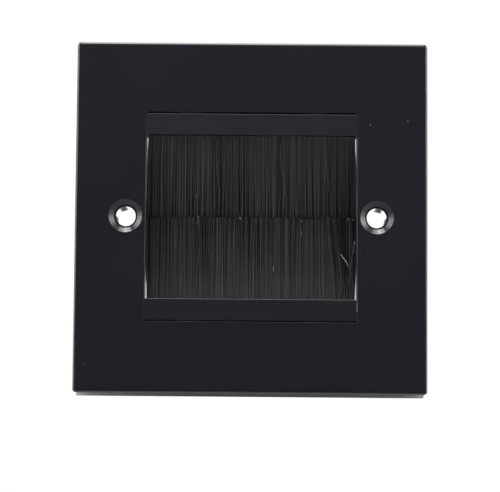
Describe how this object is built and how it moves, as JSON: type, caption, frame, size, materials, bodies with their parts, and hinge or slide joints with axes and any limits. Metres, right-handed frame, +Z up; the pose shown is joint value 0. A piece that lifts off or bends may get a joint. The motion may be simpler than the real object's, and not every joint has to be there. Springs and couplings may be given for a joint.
{
  "type": "brush cable wall plate",
  "caption": "Square wall plate with a brush cable entry: facing strip brushes close its central opening, and it is fixed through countersunk screw holes at either side.",
  "frame": {"origin": "on the wall plane, midway between the two fixing holes", "axes": "+X to the right of someone facing the plate, +Y into the wall, +Z up; the front faces -Y"},
  "size_m": [0.086, 0.01, 0.086],
  "materials": {
    "plate_plastic": "satin black moulding",
    "holder_plastic": "satin black moulding",
    "channel_steel": "bright zinc-plated folded strip",
    "wire_steel": "drawn wire",
    "filament": "black nylon filaments"
  },
  "bodies": {
    "root": {"faceplate": "plate_plastic", "upper_brush_holder": "holder_plastic", "lower_brush_holder": "holder_plastic", "upper_brush_channel": "channel_steel", "lower_brush_channel": "channel_steel", "upper_core_wire": "wire_steel", "lower_core_wire": "wire_steel", "upper_bristles": "filament", "lower_bristles": "filament"}
  },
  "joints": []
}
